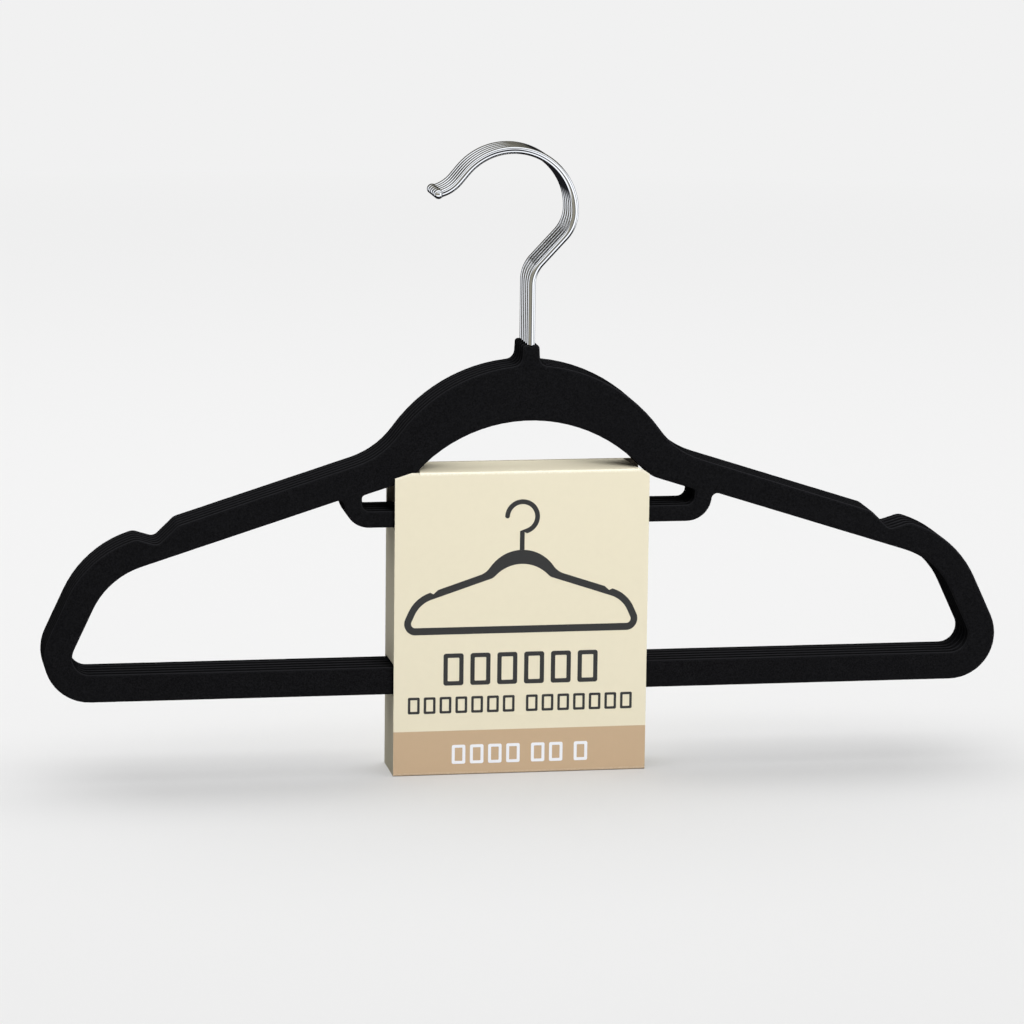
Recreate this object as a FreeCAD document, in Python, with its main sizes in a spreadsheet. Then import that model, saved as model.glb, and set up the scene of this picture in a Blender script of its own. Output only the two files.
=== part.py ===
import FreeCAD, Part
import math
import os
import re
import Sketcher
from FreeCAD import Vector

# A retail pack of nested clothes hangers held in a folded paperboard carton.
#
# X runs across the pack, Y from front to back and Z up.  The origin is the middle
# of the carton's base, so the pack stands on Z = 0 and its front faces -Y.
# Every hanger is flat and lies parallel to the XZ plane.  All sizes are in mm.

SIZES = {
    # the nested stack
    "nest_pitch": 4.6,          # from one hanger's mid-plane to the next
    "hanger_thick": 4.4,        # over the flock
    "flock_thick": 0.35,
    "edge_round": 1.1,          # the moulding's rounded rim, over the flock

    # frame outline: a band that runs along the bar, up the legs and over the shoulders
    "bar_low": 36.1,            # underside of the trouser bar
    "band": 12.3,               # width of the band
    "corner_x": 221.5,          # where the outer leg line meets the bar's underside
    "leg_lean": 0.4684,         # inward lean of the leg for each mm of height
    "shoulder_peak": 161.5,     # where the two shoulder lines would meet
    "shoulder_fall": 0.319,     # drop of the shoulder for each mm outwards
    "tip_round": 47.0,          # outside of the shoulder tip
    "tip_round_inner": 34.6,
    "foot_round": 20.0,         # outside of the lower corner
    "foot_round_inner": 7.6,

    # arch over the middle of the hanger
    "arch_z": 109.1,
    "arch_round": 70.7,
    "arch_blend": 36.0,         # hollow where the arch runs into the shoulder
    "hollow_z": 88.5,
    "hollow_round": 67.0,
    "hollow_blend": 18.0,

    # strap notch near each shoulder tip
    "notch_start": 152.3,
    "notch_floor": 161.0,
    "notch_end": 170.0,
    "notch_depth": 5.7,
    "notch_lip_round": 5.0,
    "notch_floor_round": 3.5,

    # accessory bar hung between the shoulders
    "loop_low": 109.9,
    "loop_high": 117.3,
    "loop_half": 80.8,
    "loop_round": 11.0,
    "loop_root_round": 2.5,
    "loop_window_half": 73.0,
    "window_drop": 1.4,         # the band is deeper by this above the accessory bar
    "window_floor_round": 3.5,
    "window_roof_round": 1.6,

    # neck that holds the hook
    "neck_half": 4.1,
    "neck_half_top": 3.6,
    "neck_top": 188.5,
    "neck_root_round": 4.0,
    "neck_top_round": 1.4,

    # hook: a bent wire with a ball on its free end and a turned-down shank in the neck
    "wire_d": 3.4,
    "ball_d": 4.4,
    "shank_d": 2.6,
    "shank_foot": 170.6,
    "swivel_gap": 0.05,         # radial clearance of the shank in its bore
    "seat_gap": 0.1,            # between the wire's shoulder and the neck
    "groove_d": 2.0,
    "groove_low": 173.2,
    "groove_tall": 1.6,
    "rib_gap": 0.15,            # play of the retaining rib along the groove
    "stem_top": 214.3,          # where the stem's bend begins
    "stem_bend_round": 14.0,
    "slant": 47.0,              # degrees above the horizontal
    "mouth_x": -8.3,            # centre of the hook's upper curve
    "mouth_z": 245.9,
    "mouth_round": 26.7,
    "mouth_end": 140.0,         # degrees round from +X at which the curve ends
    "lead_straight": 5.0,       # straight run towards the ball
    "ball_x": -40.7,
    "ball_z": 254.0,

    # carton
    "board": 0.6,
    "carton_wide": 111.5,
    "carton_deep": 27.0,
    "carton_tall": 134.0,
    "carton_shift": -3.4,       # the carton sits a little to the left of the hangers' middle
    "board_gap": 0.1,           # between panels that only touch
    "shoulder_slot_low": 109.2, # the upper slot is open at the top
    "bar_slot_low": 35.3,
    "bar_slot_high": 49.2,
    "slot_back": 11.7,          # how far back the side slots reach
    "corner_cut_left": 7.3,     # trimmed upper corners of the front panel
    "corner_cut_right": 3.5,
    "corner_cut_z": 2.3,
    "top_half_front": 48.4,     # the top panel narrows to pass under the arches as it swings
    "top_half_back": 45.4,
    "tuck_low": 121.0,
    "tuck_half": 41.0,
    "tuck_round": 6.0,
}

HANGER_COUNT = 5                # the middle hanger lies on Y = 0
BEYOND = 1.0                    # how far a cutting outline runs past the solid it cuts
SPOT_TOLERANCE = 0.02           # an edge this near to a corner is that corner's edge
DEPTHWISE = Vector(0, 1, 0)
SLIGHT = 1e-4                   # angle, in radians, that still counts as parallel
SHEET_PREFIX = {alias: "Sizes." for alias in SIZES}


def make_sheet(doc):
    """Spreadsheet that drives the model: one row per size, the alias being its name."""
    sheet = doc.addObject("Spreadsheet::Sheet", "Sizes")
    for row, (alias, value) in enumerate(SIZES.items(), start=1):
        sheet.set("A%d" % row, alias)
        sheet.set("B%d" % row, str(value))
        sheet.setAlias("B%d" % row, alias)
    doc.recompute()
    return sheet


def named(text):
    """Expression for the sheet, from a formula written with bare size names."""
    return re.sub("[a-z_]+", lambda word: SHEET_PREFIX.get(word[0], "") + word[0], text)


def value(owner, text):
    """Number that a formula of size names works out to."""
    result = owner.evalExpression(named(text))
    return float(getattr(result, "Value", result))


# ---------------------------------------------------------------- outline formulas

# Each line of the frame is the size or formula for its height on the middle line, or for its
# distance from the middle at the bar's underside.
OUTER_LEG = "corner_x"
INNER_LEG = "(corner_x - band * sqrt(1 + leg_lean ^ 2))"
UPPER_LINE = "shoulder_peak"
LOWER_LINE = "(shoulder_peak - band * sqrt(1 + shoulder_fall ^ 2))"
WINDOW_LINE = "(%s - window_drop)" % LOWER_LINE


def shoulder_height(line, x):
    """Height of a shoulder line at distance x from the middle."""
    return "%s - shoulder_fall * (%s)" % (line, x)


def leg_reach(leg, z):
    """Distance of a leg line from the middle at height z."""
    return "%s - leg_lean * (%s - bar_low)" % (leg, z)


def tip_reach(leg, line):
    """Distance from the middle at which a leg line meets a shoulder line."""
    return "(%s) / (1 - leg_lean * shoulder_fall)" % leg_reach(leg, line)


def line_corner(leg, line):
    """Corner at which a leg line meets a shoulder line."""
    reach = tip_reach(leg, line)
    return (reach, shoulder_height(line, reach))


def circle_corner(centre, radius, line):
    """Corner at which a circle on the hanger's middle line meets a shoulder line.

    The line is  z = line - fall x  and the circle  x^2 + (z - centre)^2 = radius^2.
    """
    rise = "(%s - %s)" % (line, centre)
    lean = "(%s * shoulder_fall)" % rise
    square = "(1 + shoulder_fall ^ 2)"
    root = "sqrt(%s ^ 2 - %s * (%s ^ 2 - %s ^ 2))" % (lean, square, rise, radius)
    reach = "(%s + %s) / %s" % (lean, root, square)
    return (reach, shoulder_height(line, reach))


def both_sides(right_half):
    """Closed outline from the corners of its right half and their mirror images."""
    left_half = [("0 - (%s)" % x, z) for x, z in reversed(right_half)]
    return right_half + left_half


# ---------------------------------------------------------------- feature helpers

def origin_feature(body, role):
    return next(item for item in body.Origin.OriginFeatures if item.Role == role)


def add_sketch(body, name, role, height=None):
    """Empty sketch on one of the body's own origin planes, optionally raised off it."""
    sketch = body.newObject("Sketcher::SketchObject", name)
    sketch.AttachmentSupport = [(origin_feature(body, role), "")]
    sketch.MapMode = "FlatFace"
    if height is not None:
        sketch.setExpression("AttachmentOffset.Base.z", named(height))
    return sketch


def bind(sketch, formula, kind, *place):
    """Constraint of a kind at a place in the sketch, kept equal to a formula of size names."""
    start = value(sketch, formula)
    if kind == "Angle":
        start = math.radians(start)
    number = sketch.addConstraint(Sketcher.Constraint(kind, *place, start))
    sketch.setExpression("Constraints[%d]" % number, named(formula))


def draw_polygon(sketch, corners):
    """Closed polygon whose corners are formulas for their two sketch coordinates."""
    spots = [Vector(value(sketch, x), value(sketch, y), 0) for x, y in corners]
    first = sketch.GeometryCount
    for start, end in zip(spots, spots[1:] + spots[:1]):
        sketch.addGeometry(Part.LineSegment(start, end), False)
    for index, (x, y) in enumerate(corners):
        line = first + index
        after = first + (index + 1) % len(corners)
        sketch.addConstraint(Sketcher.Constraint("Coincident", line, 2, after, 1))
        bind(sketch, x, "DistanceX", -1, 1, line, 1)
        bind(sketch, y, "DistanceY", -1, 1, line, 1)


def draw_circle(sketch, radius):
    """Circle about the sketch's origin, its radius a formula."""
    reach = value(sketch, radius)
    circle = sketch.addGeometry(Part.Circle(Vector(0, 0, 0), Vector(0, 0, 1), reach), False)
    sketch.addConstraint(Sketcher.Constraint("Coincident", circle, 3, -1, 1))
    bind(sketch, radius, "Radius", circle)


def draw_segment(sketch, centre_y, radius, chord_y):
    """Part of a circle above a level chord, with the circle's centre on the sketch's Y axis."""
    centre = Vector(0, value(sketch, centre_y), 0)
    reach = value(sketch, radius)
    level = value(sketch, chord_y)
    start_angle = math.asin((level - centre.y) / reach)
    circle = Part.Circle(centre, Vector(0, 0, 1), reach)
    arc = sketch.addGeometry(Part.ArcOfCircle(circle, start_angle, math.pi - start_angle), False)
    chord_end = Vector(reach * math.cos(start_angle), level, 0)
    chord_start = Vector(-chord_end.x, level, 0)
    chord = sketch.addGeometry(Part.LineSegment(chord_start, chord_end), False)
    sketch.addConstraint([Sketcher.Constraint("Coincident", arc, 2, chord, 1),
                          Sketcher.Constraint("Coincident", chord, 2, arc, 1),
                          Sketcher.Constraint("Horizontal", chord),
                          Sketcher.Constraint("PointOnObject", arc, 3, -2)])
    bind(sketch, centre_y, "DistanceY", -1, 1, arc, 3)
    bind(sketch, radius, "Radius", arc)
    bind(sketch, chord_y, "DistanceY", -1, 1, chord, 1)


def pad(body, sketch, length, centred=False, reverse=False):
    """Solid pulled from a sketch, on one side of it or half to each side."""
    feature = body.newObject("PartDesign::Pad", sketch.Name + "_pad")
    feature.Profile = sketch
    feature.SideType = "Symmetric" if centred else "One side"
    feature.Reversed = reverse
    feature.setExpression("Length", named(length))
    return feature


def cut_through(body, sketch):
    """Opening cut through the whole body, to both sides of its sketch."""
    feature = body.newObject("PartDesign::Pocket", sketch.Name + "_cut")
    feature.Profile = sketch
    feature.Type = "ThroughAll"
    feature.SideType = "Symmetric"
    return feature


def round_edges(body, name, radius, picks):
    """Fillet on the edges of the body's present shape that a test picks out."""
    body.Document.recompute()
    base = body.Tip
    numbered = enumerate(base.Shape.Edges, start=1)
    edges = ["Edge%d" % number for number, edge in numbered if picks(edge)]
    feature = body.newObject("PartDesign::Fillet", name)
    feature.Base = (base, edges)
    feature.setExpression("Radius", named(radius))
    return feature


def across_at(owner, corners):
    """Test for the edges that run from front to back through the given corners.

    A corner is a pair of formulas for X and Z, and stands for its mirror image too.
    """
    targets = [(value(owner, x), value(owner, z)) for x, z in corners]

    def picks(edge):
        if not isinstance(edge.Curve, Part.Line):
            return False
        if not edge.Curve.Direction.isParallel(DEPTHWISE, SLIGHT):
            return False
        place = (abs(edge.CenterOfMass.x), edge.CenterOfMass.z)
        return any(math.dist(place, target) < SPOT_TOLERANCE for target in targets)

    return picks


def revolve(body, sketch):
    """Full turn of a half profile, drawn on the XZ plane, about the body's Z axis."""
    feature = body.newObject("PartDesign::Revolution", sketch.Name + "_turn")
    feature.Profile = sketch
    feature.ReferenceAxis = (origin_feature(body, "Z_Axis"), [""])
    feature.Angle = 360
    return feature


# ---------------------------------------------------------------- hanger frame

def make_envelope(doc):
    """Outer form of one flocked hanger, solid right through and with no bore."""
    body = doc.addObject("PartDesign::Body", "hanger_envelope")
    upper_tip = line_corner(OUTER_LEG, UPPER_LINE)
    lower_tip = line_corner(INNER_LEG, LOWER_LINE)
    outer_foot = ("corner_x", "bar_low")
    inner_foot = (leg_reach(INNER_LEG, "(bar_low + band)"), "bar_low + band")
    notch_far = ("notch_end", shoulder_height(UPPER_LINE, "notch_end"))
    notch_floor = ("notch_floor", shoulder_height(UPPER_LINE, "notch_floor") + " - notch_depth")
    notch_near = ("notch_start", shoulder_height(UPPER_LINE, "notch_start"))
    neck_root = ("neck_half", "arch_z + sqrt(arch_round ^ 2 - neck_half ^ 2)")
    neck_corner = ("neck_half_top", "neck_top")
    loop_root = ("loop_half", shoulder_height(LOWER_LINE, "loop_half"))
    loop_corner = ("loop_half", "loop_low")
    window_floor = ("loop_window_half", "loop_high")
    window_roof = ("loop_window_half", shoulder_height(WINDOW_LINE, "loop_window_half"))
    window_ridge = ("neck_half", shoulder_height(WINDOW_LINE, "neck_half"))
    shoulder_ridge = ("neck_half", shoulder_height(UPPER_LINE, "neck_half"))

    outline = add_sketch(body, "outline", "XZ_Plane")
    draw_polygon(outline, both_sides([outer_foot, upper_tip, notch_far, notch_floor, notch_near,
                                      shoulder_ridge]))
    pad(body, outline, "hanger_thick", centred=True)

    arch = add_sketch(body, "arch", "XZ_Plane")
    draw_segment(arch, "arch_z", "arch_round", "loop_high")
    pad(body, arch, "hanger_thick", centred=True)

    neck = add_sketch(body, "neck", "XZ_Plane")
    draw_polygon(neck, both_sides([("neck_half", "shoulder_peak"), neck_root, neck_corner]))
    pad(body, neck, "hanger_thick", centred=True)

    opening = add_sketch(body, "opening", "XZ_Plane")
    draw_polygon(opening, both_sides([inner_foot, lower_tip, loop_root, loop_corner]))
    cut_through(body, opening)

    window = add_sketch(body, "window", "XZ_Plane")
    draw_polygon(window, both_sides([window_floor, window_roof, window_ridge]))
    cut_through(body, window)

    hollow = add_sketch(body, "hollow", "XZ_Plane")
    draw_segment(hollow, "hollow_z", "hollow_round", "loop_high + window_floor_round")
    cut_through(body, hollow)

    rounds = [
        ("foot_round", [outer_foot]),
        ("foot_round_inner", [inner_foot]),
        ("tip_round", [upper_tip]),
        ("tip_round_inner", [lower_tip]),
        ("notch_lip_round", [notch_far, notch_near]),
        ("notch_floor_round", [notch_floor]),
        ("arch_blend", [circle_corner("arch_z", "arch_round", UPPER_LINE)]),
        ("hollow_blend", [circle_corner("hollow_z", "hollow_round", WINDOW_LINE)]),
        ("neck_root_round", [neck_root]),
        ("neck_top_round", [neck_corner]),
        ("loop_round", [loop_corner]),
        ("loop_root_round", [loop_root]),
        ("window_floor_round", [window_floor]),
        ("window_roof_round", [window_roof]),
    ]
    for radius, corners in rounds:
        round_edges(body, radius + "_fillet", radius, across_at(body, corners))

    half_thick = value(body, "hanger_thick / 2")
    round_edges(body, "rim_fillet", "edge_round",
                lambda edge: abs(abs(edge.CenterOfMass.y) - half_thick) < SPOT_TOLERANCE)
    return body


def make_bore(doc, name, radius, rib=True):
    """Space that the hook's shank takes in the neck, with a ring left out for the retaining rib."""
    body = doc.addObject("PartDesign::Body", name)
    profile = add_sketch(body, name + "_profile", "XZ_Plane")
    foot = "shank_foot - seat_gap"
    corners = [("0", foot), (radius, foot)]
    if rib:
        rib_radius = "groove_d / 2 + swivel_gap"
        rib_low = "groove_low + rib_gap"
        rib_high = "groove_low + groove_tall - rib_gap"
        corners += [(radius, rib_low), (rib_radius, rib_low), (rib_radius, rib_high), (radius, rib_high)]
    corners += [(radius, "neck_top + seat_gap"), ("0", "neck_top + seat_gap")]
    draw_polygon(profile, corners)
    revolve(body, profile)
    return body


def make_hangers(doc, offsets):
    """Plastic core and flock coat of every hanger in the stack."""
    envelope = make_envelope(doc)
    blank = doc.addObject("Part::Offset", "core_blank")
    blank.Source = envelope
    blank.setExpression("Value", named("0 - flock_thick"))
    blank.Mode = "Skin"
    blank.Join = "Arc"
    bore = make_bore(doc, "shank_bore", "shank_d / 2 + swivel_gap")
    mouth = make_bore(doc, "flock_mouth", "wire_d / 2", rib=False)
    filling = doc.addObject("Part::MultiFuse", "flock_filling")
    filling.Shapes = [blank, mouth]
    pieces = []
    for number, offset in enumerate(offsets, start=1):
        core = doc.addObject("Part::Cut", "hanger_core_%d" % number)
        core.Base = blank
        core.Tool = bore
        flock = doc.addObject("Part::Cut", "velvet_flock_%d" % number)
        flock.Base = envelope
        flock.Tool = filling
        for piece in (core, flock):
            piece.Label = piece.Name
            piece.setExpression("Placement.Base.y", named(offset))
            pieces.append(piece)
    return pieces


# ---------------------------------------------------------------- hook

def polar(centre, radius, degrees):
    angle = math.radians(degrees)
    return centre + Vector(math.cos(angle), math.sin(angle), 0) * radius


def hook_curves(size):
    """Centre line of the bent wire from the neck to the ball: lines and arcs that run smoothly on."""
    slant = size("slant")
    bend = size("stem_bend_round")
    start = Vector(0, size("neck_top + seat_gap"), 0)
    stem_end = Vector(0, size("stem_top"), 0)
    bend_centre = stem_end + Vector(bend, 0, 0)
    slant_start = polar(bend_centre, bend, 90 + slant)

    # the cheek is the arc that touches both the slant and the mouth's widest point
    mouth = Vector(size("mouth_x"), size("mouth_z"), 0)
    reach = size("mouth_round")
    side = mouth + Vector(reach, 0, 0)
    sine = math.sin(math.radians(slant))
    cosine = math.cos(math.radians(slant))
    cheek = ((side.y - slant_start.y) * cosine - (side.x - slant_start.x) * sine) / (1 - sine)
    cheek_centre = side - Vector(cheek, 0, 0)
    slant_end = polar(cheek_centre, cheek, slant - 90)

    # the curl is the arc that leaves the straight lead smoothly and ends at the ball
    lead_start = polar(mouth, reach, size("mouth_end"))
    lead_turn = size("mouth_end") + 90
    lead_end = polar(lead_start, size("lead_straight"), lead_turn)
    ball = Vector(size("ball_x"), size("ball_z"), 0)
    chord = ball - lead_end
    half_turn = math.radians(360 - lead_turn) + math.atan2(chord.y, chord.x)
    curl_centre = polar(lead_end, chord.Length / (2 * math.sin(abs(half_turn))), lead_turn - 90)

    def arc(first, centre, middle_angle, last):
        return Part.Arc(first, polar(centre, first.distanceToPoint(centre), middle_angle), last)

    return [
        Part.LineSegment(start, stem_end),
        arc(stem_end, bend_centre, 135 + slant / 2, slant_start),
        Part.LineSegment(slant_start, slant_end),
        arc(slant_end, cheek_centre, (slant - 90) / 2, side),
        arc(side, mouth, size("mouth_end / 2"), lead_start),
        Part.LineSegment(lead_start, lead_end),
        arc(lead_end, curl_centre, lead_turn - 270 - math.degrees(abs(half_turn)), ball),
    ]


def draw_hook_path(sketch):
    """Centre line of the wire, held by tangent joints and by the sheet's sizes."""
    curves = hook_curves(lambda text: value(sketch, text))
    run = [sketch.addGeometry(curve, False) for curve in curves]
    stem, bend, slant, cheek, mouth, lead, curl = run
    clockwise = {bend, curl}    # a sketch counts these arcs' ends the other way round
    for first, second in zip(run, run[1:]):
        leaves = 1 if first in clockwise else 2
        enters = 2 if second in clockwise else 1
        sketch.addConstraint(Sketcher.Constraint("Tangent", first, leaves, second, enters))
    sketch.addConstraint(Sketcher.Constraint("Vertical", stem))
    sketch.addConstraint(Sketcher.Constraint("PointOnObject", stem, 1, -2))

    bind(sketch, "neck_top + seat_gap", "DistanceY", -1, 1, stem, 1)
    bind(sketch, "stem_top", "DistanceY", -1, 1, stem, 2)
    bind(sketch, "stem_bend_round", "Radius", bend)
    bind(sketch, "slant", "Angle", slant)
    bind(sketch, "mouth_x", "DistanceX", -1, 1, mouth, 3)
    bind(sketch, "mouth_z", "DistanceY", -1, 1, mouth, 3)
    bind(sketch, "mouth_z", "DistanceY", -1, 1, mouth, 1)
    bind(sketch, "mouth_round", "Radius", mouth)
    bind(sketch, "mouth_end - 270", "Angle", lead)
    bind(sketch, "lead_straight", "Distance", lead)
    bind(sketch, "ball_x", "DistanceX", -1, 1, curl, 1)
    bind(sketch, "ball_z", "DistanceY", -1, 1, curl, 1)


def make_hook(doc, number, offset):
    """One swivelling hook: swept wire, ball end and grooved shank."""
    body = doc.addObject("PartDesign::Body", "hook_%d" % number)
    body.Label = body.Name
    path = add_sketch(body, "wire_path_%d" % number, "XZ_Plane")
    draw_hook_path(path)
    section = add_sketch(body, "wire_section_%d" % number, "XY_Plane", "neck_top + seat_gap")
    draw_circle(section, "wire_d / 2")
    wire = body.newObject("PartDesign::AdditivePipe", "wire_%d" % number)
    wire.Profile = section
    wire.Spine = path

    shank = add_sketch(body, "shank_%d" % number, "XZ_Plane")
    groove_high = "groove_low + groove_tall"
    draw_polygon(shank, [("0", "shank_foot"), ("shank_d / 2", "shank_foot"),
                         ("shank_d / 2", "groove_low"), ("groove_d / 2", "groove_low"),
                         ("groove_d / 2", groove_high), ("shank_d / 2", groove_high),
                         ("shank_d / 2", "neck_top + wire_d"), ("0", "neck_top + wire_d")])
    revolve(body, shank)

    ball = body.newObject("PartDesign::AdditiveSphere", "ball_%d" % number)
    ball.AttachmentSupport = [(origin_feature(body, "XY_Plane"), "")]
    ball.MapMode = "FlatFace"
    ball.setExpression("Radius", named("ball_d / 2"))
    ball.setExpression("AttachmentOffset.Base.x", named("ball_x"))
    ball.setExpression("AttachmentOffset.Base.z", named("ball_z"))
    body.setExpression("Placement.Base.y", named(offset))
    return body


# ---------------------------------------------------------------- carton

def make_tray(doc):
    """Back, sides and bottom of the carton; the side slots open to the front."""
    body = doc.addObject("PartDesign::Body", "carton_tray")
    body.Label = body.Name
    half_wide = "carton_wide / 2"
    inner_half = "carton_wide / 2 - board"
    back = "carton_deep / 2"
    inner_back = "carton_deep / 2 - board"
    side_front = "0 - (carton_deep / 2 - board - board_gap)"

    walls = add_sketch(body, "tray_walls", "XY_Plane")
    draw_polygon(walls, both_sides([(inner_half, inner_back), (inner_half, side_front),
                                    (half_wide, side_front), (half_wide, back)]))
    pad(body, walls, "carton_tall")

    bottom = add_sketch(body, "tray_bottom", "XY_Plane")
    draw_polygon(bottom, both_sides([(half_wide, side_front), (half_wide, back)]))
    pad(body, bottom, "board")

    slots = add_sketch(body, "side_slots", "YZ_Plane")
    ahead = "0 - carton_deep / 2 - %g" % BEYOND
    above = "carton_tall + %g" % BEYOND
    draw_polygon(slots, [(ahead, "bar_slot_low"), ("slot_back", "bar_slot_low"),
                         ("slot_back", "bar_slot_high"), (ahead, "bar_slot_high")])
    draw_polygon(slots, [(ahead, "shoulder_slot_low"), ("slot_back", "shoulder_slot_low"),
                         ("slot_back", above), (ahead, above)])
    cut_through(body, slots)
    body.setExpression("Placement.Base.x", named("carton_shift"))
    return body


def about_hangers(right_half):
    """Closed outline, in the shifted carton's own place, that is even about the hangers' middle."""
    return [("%s - carton_shift" % x, z) for x, z in both_sides(right_half)]


def make_cover(doc):
    """Front panel that swings down about its lower edge, with the top panel and tuck flap."""
    body = doc.addObject("PartDesign::Body", "carton_cover")
    body.Label = body.Name
    half_wide = "carton_wide / 2"

    trim_low = "carton_tall - corner_cut_z"
    front = add_sketch(body, "front_panel", "XZ_Plane", "carton_deep / 2 - board")
    draw_polygon(front, [(half_wide, "0"), (half_wide, trim_low),
                         (half_wide + " - corner_cut_right", "carton_tall"),
                         ("corner_cut_left - " + half_wide, "carton_tall"),
                         ("0 - " + half_wide, trim_low), ("0 - " + half_wide, "0")])
    pad(body, front, "board")

    top_front = "0 - (carton_deep / 2 - board / 2)"
    top_back = "carton_deep / 2 - board - board_gap"
    top = add_sketch(body, "top_panel", "XY_Plane", "carton_tall - board")
    draw_polygon(top, about_hangers([("top_half_front", top_front), ("top_half_back", top_back)]))
    pad(body, top, "board")

    flap = add_sketch(body, "tuck_flap", "XZ_Plane", "0 - (carton_deep / 2 - board - board_gap)")
    draw_polygon(flap, about_hangers([("tuck_half", "tuck_low"), ("tuck_half", "carton_tall")]))
    pad(body, flap, "board")
    round_edges(body, "tuck_fillet", "tuck_round",
                across_at(body, [("tuck_half - carton_shift", "tuck_low"),
                                 ("tuck_half + carton_shift", "tuck_low")]))
    body.setExpression("Placement.Base.x", named("carton_shift"))
    return body


# ---------------------------------------------------------------- whole pack

def check(doc, pieces):
    """Stops with a message if any object failed or any piece isn't one valid solid."""
    for item in doc.Objects:
        if "Invalid" in item.State or "Error" in item.State:
            raise RuntimeError("%s failed: %s" % (item.Name, item.State))
    for piece in pieces:
        shape = piece.Shape
        if shape.isNull() or not shape.isValid() or len(shape.Solids) != 1:
            raise RuntimeError("%s isn't one valid solid" % piece.Label)


def main():
    doc = FreeCAD.newDocument("hanger_pack")
    make_sheet(doc)
    middle = (HANGER_COUNT + 1) / 2
    offsets = ["nest_pitch * (%g)" % (number - middle) for number in range(1, HANGER_COUNT + 1)]
    pieces = make_hangers(doc, offsets)
    pieces += [make_hook(doc, number, offset) for number, offset in enumerate(offsets, start=1)]
    pieces += [make_tray(doc), make_cover(doc)]
    doc.recompute()
    check(doc, pieces)

    os.makedirs("parts", exist_ok=True)
    for piece in pieces:
        piece.Shape.exportStep(os.path.join("parts", piece.Label + ".step"))
        box = piece.Shape.BoundBox
        lengths = (box.XLength, box.YLength, box.ZLength)
        volume = piece.Shape.Volume
        print("%-16s volume %10.1f  size %7.2f %7.2f %7.2f" % (piece.Label, volume, *lengths))


main()
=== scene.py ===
"""Looks of a retail pack of five nested velvet clothes hangers in a paperboard carton.

The frame gives every place and size in metres: X across the pack, Y to the back, Z up, with the
origin on the floor under the hangers' middle, halfway between the carton's front and back.  Sizes
that the frame doesn't give are in millimetres here, and MM turns them into metres.
"""
import math

import bmesh
import bpy
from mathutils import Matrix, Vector, noise
from mathutils.bvhtree import BVHTree


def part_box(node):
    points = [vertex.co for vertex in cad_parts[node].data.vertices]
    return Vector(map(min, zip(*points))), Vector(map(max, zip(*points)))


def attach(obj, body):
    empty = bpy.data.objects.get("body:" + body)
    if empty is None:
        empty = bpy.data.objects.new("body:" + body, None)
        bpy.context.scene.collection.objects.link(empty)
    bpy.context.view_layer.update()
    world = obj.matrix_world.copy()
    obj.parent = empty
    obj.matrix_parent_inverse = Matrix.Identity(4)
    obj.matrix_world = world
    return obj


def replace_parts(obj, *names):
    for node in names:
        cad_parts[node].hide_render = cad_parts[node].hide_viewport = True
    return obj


MM = 0.001
HANGERS = range(1, 6)
MIDDLE_HANGER = 3

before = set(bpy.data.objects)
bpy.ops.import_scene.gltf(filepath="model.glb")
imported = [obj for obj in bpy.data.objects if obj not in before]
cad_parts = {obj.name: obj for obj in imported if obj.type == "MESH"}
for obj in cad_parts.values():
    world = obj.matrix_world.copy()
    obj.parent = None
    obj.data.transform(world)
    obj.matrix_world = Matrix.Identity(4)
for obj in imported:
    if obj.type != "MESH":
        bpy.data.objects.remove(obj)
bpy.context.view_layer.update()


# ---------------------------------------------------------------- node helpers

def linear(*srgb):
    """Linear colour with alpha, from an sRGB colour given in 0-255."""
    channels = []
    for level in srgb:
        share = level / 255
        channels.append(share / 12.92 if share <= 0.04045 else ((share + 0.055) / 1.055) ** 2.4)
    return (*channels, 1.0)


class Nodes:
    """Adds nodes to one tree and wires their inputs."""

    def __init__(self, tree):
        self.tree = tree

    def add(self, kind, inputs=None, **settings):
        node = self.tree.nodes.new(kind)
        for setting, value in settings.items():
            setattr(node, setting, value)
        for key, value in (inputs or {}).items():
            self.feed(node.inputs[key], value)
        return node

    def feed(self, socket, value):
        if isinstance(value, bpy.types.NodeSocket):
            self.tree.links.new(value, socket)
        else:
            socket.default_value = value

    def math(self, operation, first, second=0.0):
        return self.add("ShaderNodeMath", {0: first, 1: second}, operation=operation).outputs[0]

    def ramp(self, source, low, high):
        """Source remapped so that low gives 0 and high gives 1."""
        return self.add("ShaderNodeMapRange", {"Value": source, "From Min": low, "From Max": high}).outputs[0]

    def scaled(self, source, low, high):
        """Source, from 0 to 1, remapped to run from low to high."""
        return self.add("ShaderNodeMapRange", {"Value": source, "To Min": low, "To Max": high}).outputs[0]

    def mix(self, share, first, second):
        node = self.add("ShaderNodeMix", data_type="RGBA")
        self.feed(node.inputs["Factor"], share)
        self.feed(node.inputs[6], first)
        self.feed(node.inputs[7], second)
        return node.outputs[2]


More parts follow.
